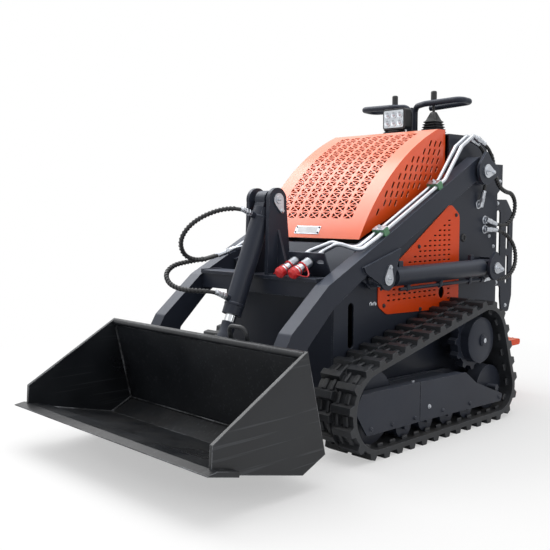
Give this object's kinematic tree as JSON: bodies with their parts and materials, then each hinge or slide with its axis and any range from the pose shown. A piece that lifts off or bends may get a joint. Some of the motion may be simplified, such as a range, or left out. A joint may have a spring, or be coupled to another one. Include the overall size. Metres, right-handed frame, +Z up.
{
  "type": "mini skid steer loader",
  "caption": "Tracked stand-on mini loader: curved vented hood, twin lift arms, tilt tower and cylinder, digging bucket, control deck with hand loops and a rear platform.",
  "frame": {"origin": "on the ground under the middle of the machine's length and width", "axes": "+X forward to the bucket, +Y to the machine's left, +Z up"},
  "size_m": [2.1109, 1.108, 1.3733],
  "materials": {
    "black_rubber": "matte rubber",
    "bucket_paint": "gloss black paint",
    "cap_plastic": "soft moulded plastic",
    "clamp_plastic": "moulded plastic",
    "engine_iron": "dark cast iron",
    "grey_paint": "satin slate-grey powder coat",
    "lamp_lens": "clear moulded lens",
    "orange_paint": "satin powder coat",
    "rod_chrome": "hard chrome",
    "track_rubber": "matte moulded rubber",
    "zinc_steel": "zinc plate"
  },
  "bodies": {
    "chassis": {"arm_hose_inner": "black_rubber", "arm_hose_outer": "black_rubber", "belly_plate": "grey_paint", "chassis_pins": "zinc_steel", "control_deck": "grey_paint", "control_levers": "black_rubber", "cylinder_bracket": "grey_paint", "engine_block": "engine_iron", "hand_loops": "grey_paint", "hood_hinges": "grey_paint", "hose_fittings": "zinc_steel", "lamp_lens": "lamp_lens", "lever_boots": "black_rubber", "lift_hose_left": "black_rubber", "nose_plate": "grey_paint", "pivot_bracket": "grey_paint", "platform": "orange_paint", "rear_guard": "grey_paint", "rear_panel": "grey_paint", "side_panel": "orange_paint", "side_wall_left": "grey_paint", "side_wall_right": "grey_paint", "sprocket": "grey_paint", "track_cover": "grey_paint", "track_frame": "grey_paint", "track_left": "track_rubber", "track_right": "track_rubber", "track_wheels": "grey_paint", "work_lamp": "black_rubber"},
    "arms": {"arm_left": "grey_paint", "arm_right": "grey_paint", "cross_member": "grey_paint", "tilt_tower": "grey_paint", "arm_pins": "zinc_steel", "arm_tubes": "zinc_steel", "tube_clamps": "clamp_plastic", "coupler_plate": "grey_paint", "couplers": "zinc_steel", "coupler_caps": "cap_plastic", "tilt_tubes": "zinc_steel", "tilt_hose_upper": "black_rubber", "tilt_hose_lower": "black_rubber"},
    "bucket": {"bucket_wrap": "bucket_paint", "bucket_cheeks": "bucket_paint", "cutting_edge": "bucket_paint", "attach_plate": "grey_paint", "tilt_rod_pins": "zinc_steel", "latch_handle": "bucket_paint"},
    "hood": {"hood": "orange_paint"},
    "lift_barrel_left": {"lift_barrel_left": "grey_paint"},
    "lift_barrel_right": {"lift_barrel_right": "grey_paint"},
    "lift_rod_left": {"lift_rod_left": "rod_chrome"},
    "lift_rod_right": {"lift_rod_right": "rod_chrome"},
    "tilt_barrel": {"tilt_barrel": "grey_paint"},
    "tilt_rod": {"tilt_rod": "rod_chrome"}
  },
  "joints": [
    {"name": "lift", "type": "hinge", "parent": "chassis", "child": "arms", "pos_m": [-0.549, 0, 1.018], "axis": [0, -1, 0], "range_deg": [0, 75], "deforming": ["arm_hose_inner", "arm_hose_outer"]},
    {"name": "tilt", "type": "hinge", "parent": "arms", "child": "bucket", "pos_m": [0.51155, 0, 0.1946], "axis": [0, 1, 0], "range_deg": [0, 85]},
    {"name": "hood_lid", "type": "hinge", "parent": "chassis", "child": "hood", "pos_m": [-0.418, 0, 1.178], "axis": [0, -1, 0], "range_deg": [0, 50]},
    {"name": "lift_barrel_left", "type": "hinge", "parent": "chassis", "child": "lift_barrel_left", "pos_m": [-0.637, 0.342, 0.617], "axis": [0, -1, 0], "range_deg": [-1, 55.84], "deforming": ["lift_hose_left"]},
    {"name": "lift_rod_left", "type": "slide", "parent": "lift_barrel_left", "child": "lift_rod_left", "axis": [1, 0, -0.007], "range_m": [-0.001, 0.39334]},
    {"name": "lift_barrel_right", "type": "hinge", "parent": "chassis", "child": "lift_barrel_right", "pos_m": [-0.637, -0.342, 0.617], "axis": [0, -1, 0], "range_deg": [-1, 55.84]},
    {"name": "lift_rod_right", "type": "slide", "parent": "lift_barrel_right", "child": "lift_rod_right", "axis": [1, 0, -0.007], "range_m": [-0.001, 0.39334]},
    {"name": "tilt_barrel", "type": "hinge", "parent": "arms", "child": "tilt_barrel", "pos_m": [0.316, 0, 0.897], "axis": [0, -1, 0], "range_deg": [-1, 3.94], "deforming": ["tilt_hose_lower", "tilt_hose_upper"]},
    {"name": "tilt_rod", "type": "slide", "parent": "tilt_barrel", "child": "tilt_rod", "axis": [0.3869, 0, -0.9221], "range_m": [-0.001, 0.20739]}
  ],
  "couplings": [
    {"joint": "lift_barrel_left", "follows": "lift", "ratio": 0.73119},
    {"joint": "lift_rod_left", "follows": "lift", "m_per_rad": 0.29973},
    {"joint": "lift_barrel_right", "follows": "lift", "ratio": 0.73119},
    {"joint": "lift_rod_right", "follows": "lift", "m_per_rad": 0.29973},
    {"joint": "tilt_barrel", "follows": "tilt", "ratio": 0.03456},
    {"joint": "tilt_rod", "follows": "tilt", "m_per_rad": 0.13912}
  ]
}
